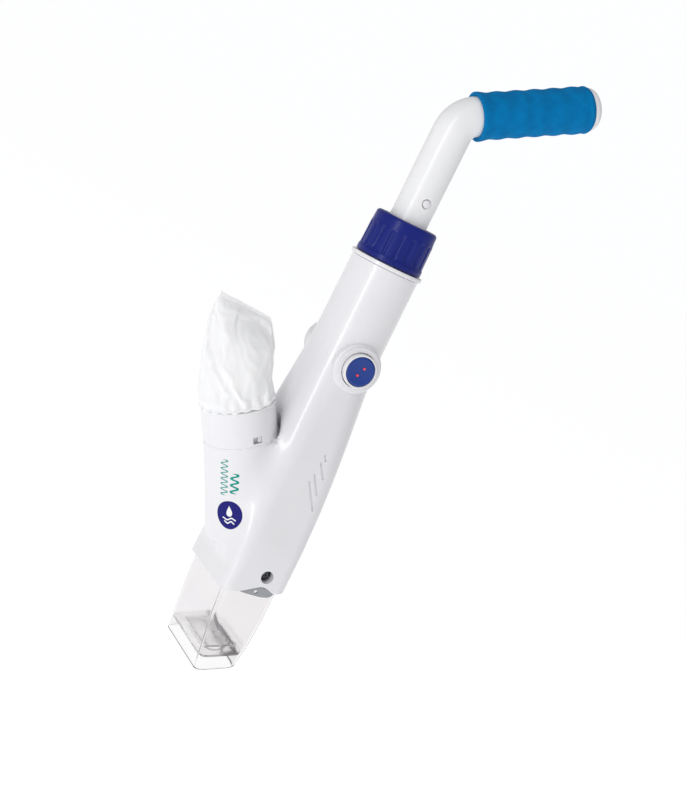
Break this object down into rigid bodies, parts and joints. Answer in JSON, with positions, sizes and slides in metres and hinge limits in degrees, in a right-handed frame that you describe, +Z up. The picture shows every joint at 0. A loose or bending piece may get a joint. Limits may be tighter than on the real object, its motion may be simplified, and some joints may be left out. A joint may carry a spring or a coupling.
{
  "type": "manual vacuum head",
  "caption": "Cordless pool and spa vacuum head with a bent grip handle, power button, angled filter bag and clear wedge nozzle.",
  "frame": {"origin": "on the body's axis at the top face of the lock collar, where the handle tube enters", "axes": "+Z up the handle tube, +X to the side the grip leans to, -Y to the side with the power button"},
  "size_m": [0.2315, 0.0914, 0.5522],
  "materials": {
    "white_plastic": "moulded, glossy",
    "white_tube": "white painted aluminium tube",
    "navy_plastic": "moulded, satin",
    "blue_plastic": "moulded, glossy",
    "blue_foam": "closed-cell foam, fine grain",
    "clear_plastic": "clear moulded",
    "filter_fabric": "white non-woven cloth",
    "black_rubber": "moulded, matt",
    "grey_plastic": "moulded, matt",
    "clear_silicone": "cloudy, soft",
    "steel": "plain steel",
    "brass": "turned",
    "board": "circuit board",
    "cell_wrap": "shrink-wrapped cell",
    "red_lens": "clear red",
    "red_wire": "insulated wire"
  },
  "bodies": {
    "housing": {"housing_front": "white_plastic", "housing_rear": "white_plastic", "case_screw_1": "steel", "case_screw_2": "steel", "case_screw_3": "steel", "case_screw_4": "steel", "case_screw_lower": "steel", "screw_washer": "black_rubber", "pole_socket": "white_plastic", "socket_seal": "black_rubber", "button_bezel": "white_plastic", "button_spring": "steel", "push_switch": "grey_plastic", "control_board": "board", "battery_cradle": "grey_plastic", "battery_cell_1": "cell_wrap", "battery_cell_2": "cell_wrap", "charge_socket": "black_rubber", "motor_pod": "grey_plastic", "pod_lid": "grey_plastic", "pod_gasket": "black_rubber", "motor": "steel", "shaft_seal": "black_rubber", "motor_lead_1": "black_rubber", "motor_lead_2": "red_wire", "neck_spigot": "white_plastic"},
    "lock_ring": {"lock_collar": "navy_plastic"},
    "collet": {"collet_ring": "grey_plastic"},
    "handle": {"handle_tube": "white_tube", "handle_grip": "blue_foam", "grip_end_cap": "white_plastic", "snap_spring": "steel"},
    "snap_clip": {"snap_button": "white_plastic"},
    "button": {"power_button": "blue_plastic", "indicator_lens_1": "red_lens", "indicator_lens_2": "red_lens"},
    "bag_lifter": {"bag_seal": "black_rubber"},
    "bag": {"bag_collar": "white_plastic", "bag_hoop": "steel", "filter_bag": "filter_fabric"},
    "nozzle_unit": {"nozzle": "clear_plastic", "nozzle_seal": "black_rubber", "nozzle_latch": "grey_plastic", "inlet_plate": "clear_plastic", "flap_pin": "steel"},
    "flap": {"inlet_flap": "clear_silicone"},
    "rotor": {"motor_shaft": "steel", "impeller": "grey_plastic", "impeller_nut": "brass"},
    "port_cap": {"charge_cap": "white_plastic"}
  },
  "joints": [
    {"name": "power_button_press", "type": "slide", "parent": "housing", "child": "button", "axis": [0, 1, 0], "range_m": [0, 0.002], "stiffness_N_per_m": 800, "deforming": ["button_spring"]},
    {"name": "lock_collar_turn", "type": "hinge", "parent": "housing", "child": "lock_ring", "pos_m": [0, 0, 0], "axis": [0, 0, 1], "range_deg": [0, 90]},
    {"name": "handle_turn", "type": "hinge", "parent": "housing", "child": "collet", "pos_m": [0, 0, 0], "axis": [0, 0, 1], "continuous": true},
    {"name": "handle_slide", "type": "slide", "parent": "collet", "child": "handle", "axis": [0, 0, 1], "range_m": [0, 0.08]},
    {"name": "snap_button_press", "type": "slide", "parent": "handle", "child": "snap_clip", "axis": [0, 1, 0], "range_m": [0, 0.0025], "stiffness_N_per_m": 600, "deforming": ["snap_spring"]},
    {"name": "bag_pull", "type": "slide", "parent": "housing", "child": "bag_lifter", "axis": [-0.5225, 0, 0.8526], "range_m": [0, 0.035]},
    {"name": "bag_twist", "type": "hinge", "parent": "bag_lifter", "child": "bag", "pos_m": [-0.0052, 0, -0.2809], "axis": [-0.5225, 0, 0.8526], "range_deg": [0, 8]},
    {"name": "nozzle_pull", "type": "slide", "parent": "housing", "child": "nozzle_unit", "axis": [0, 0, -1], "range_m": [0, 0.06]},
    {"name": "flap_swing", "type": "hinge", "parent": "nozzle_unit", "child": "flap", "pos_m": [0.01207, 0, -0.36627], "axis": [0, 1, 0], "range_deg": [0, 60]},
    {"name": "rotor_spin", "type": "hinge", "parent": "housing", "child": "rotor", "pos_m": [0.003, 0, -0.267], "axis": [0, 0, 1], "continuous": true},
    {"name": "port_cap_pull", "type": "slide", "parent": "housing", "child": "port_cap", "axis": [0, 1, 0], "range_m": [0, 0.012]}
  ]
}
